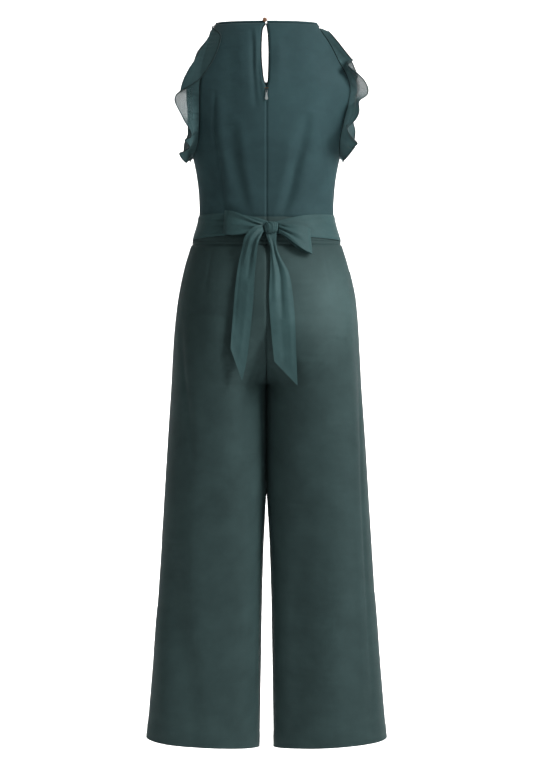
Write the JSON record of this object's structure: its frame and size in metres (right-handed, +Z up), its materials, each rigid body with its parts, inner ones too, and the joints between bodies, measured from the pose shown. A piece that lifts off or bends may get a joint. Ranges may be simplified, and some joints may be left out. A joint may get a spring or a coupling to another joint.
{
  "type": "jumpsuit",
  "caption": "Sleeveless wide-legged jumpsuit with ruffled armholes, a keyhole back with a zip below it, and a sash tied in a bow at the back.",
  "frame": {"origin": "between the two shoulder seams at the height of the neck, where the wearer carries the garment", "axes": "+Z up to the neck, -Y out of the garment's back with the bow, -X the wearer's left side"},
  "size_m": [0.4854, 0.2659, 1.4665],
  "materials": {
    "bodice": "matte crepe",
    "chiffon": "sheer chiffon",
    "trousers": "matte satin-backed crepe",
    "sash": "satin side of the crepe",
    "button": "polished copper brown",
    "hook": "lacquered dark metal",
    "zip": "painted to match the cloth"
  },
  "bodies": {
    "garment": {"bodice_back_left": "bodice", "bodice_back_right": "bodice", "bodice_front": "bodice", "neck_binding_back_left": "bodice", "neck_binding_back_right": "bodice", "neck_binding_front": "bodice", "ruffle_left": "chiffon", "ruffle_right": "chiffon", "waistband_back_left": "trousers", "waistband_back_right": "trousers", "waistband_front": "trousers", "trouser_back_left": "trousers", "trouser_back_right": "trousers", "trouser_front_left": "trousers", "trouser_front_right": "trousers", "belt_band": "sash", "belt_knot": "sash", "bow_loop_left": "sash", "bow_loop_right": "sash", "belt_tail_left": "sash", "belt_tail_right": "sash", "neck_button": "button", "button_loop": "bodice", "hook_bar": "hook", "zip_slider": "zip"},
    "pull": {"zip_pull": "zip"}
  },
  "joints": [
    {"name": "pull_turn", "type": "hinge", "parent": "garment", "child": "pull", "pos_m": [0, -0.1063, -0.1546], "axis": [-1, 0, 0], "range_deg": [0, 150]}
  ]
}
